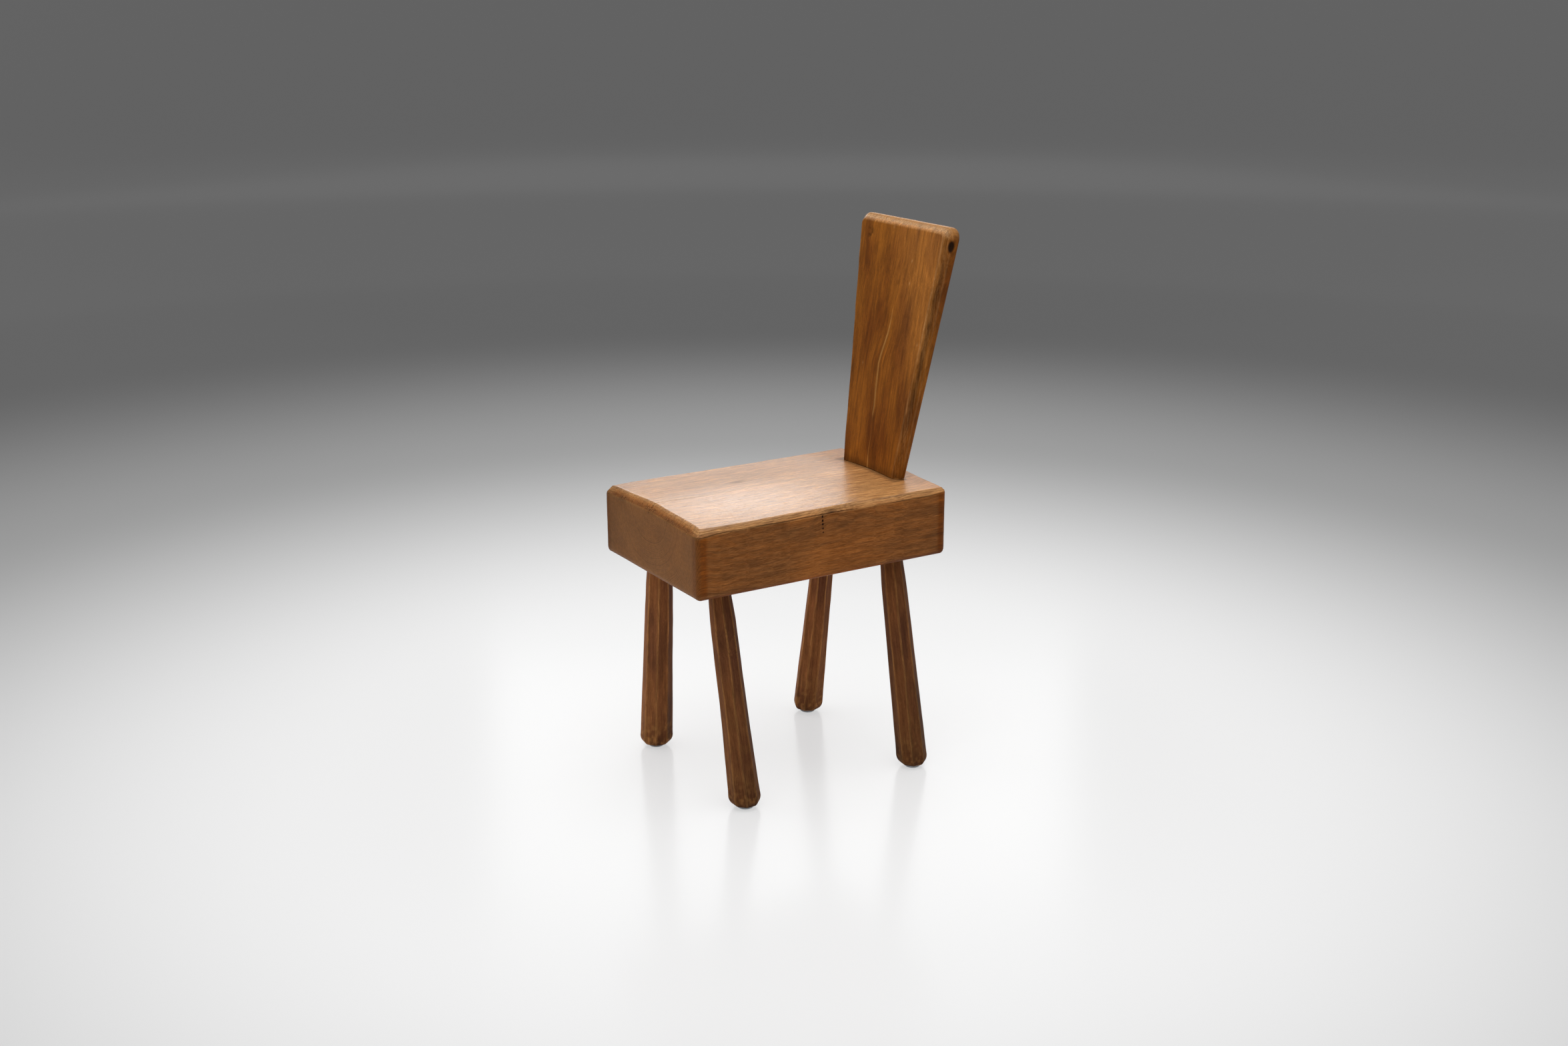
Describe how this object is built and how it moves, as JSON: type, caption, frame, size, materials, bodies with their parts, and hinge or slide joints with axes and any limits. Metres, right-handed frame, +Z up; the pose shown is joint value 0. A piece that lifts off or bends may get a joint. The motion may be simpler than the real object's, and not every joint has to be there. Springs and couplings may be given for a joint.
{
  "type": "chair",
  "caption": "Rustic solid-wood side chair: a thick block seat on splayed octagonal legs, with a leaning plank backrest that widens upwards.",
  "frame": {"origin": "on the floor, under the middle of the chair's whole length and width", "axes": "+Z up; the sitter faces -Y, so the backrest stands at +Y; +X is the sitter's left"},
  "size_m": [0.3355, 0.4792, 0.8483],
  "materials": {
    "seat_wood": "satin",
    "backrest_wood": "satin",
    "leg_wood": "satin",
    "wedge_wood": "matte",
    "glide_plastic": "matte",
    "nail_steel": "brushed"
  },
  "bodies": {
    "root": {"seat_block": "seat_wood", "backrest": "backrest_wood", "wedge_backrest_left": "wedge_wood", "wedge_backrest_right": "wedge_wood", "leg_front_left": "leg_wood", "wedge_front_left": "wedge_wood", "glide_front_left": "glide_plastic", "nail_front_left": "nail_steel", "leg_front_right": "leg_wood", "wedge_front_right": "wedge_wood", "glide_front_right": "glide_plastic", "nail_front_right": "nail_steel", "leg_rear_left": "leg_wood", "wedge_rear_left": "wedge_wood", "glide_rear_left": "glide_plastic", "nail_rear_left": "nail_steel", "leg_rear_right": "leg_wood", "wedge_rear_right": "wedge_wood", "glide_rear_right": "glide_plastic", "nail_rear_right": "nail_steel"}
  },
  "joints": []
}
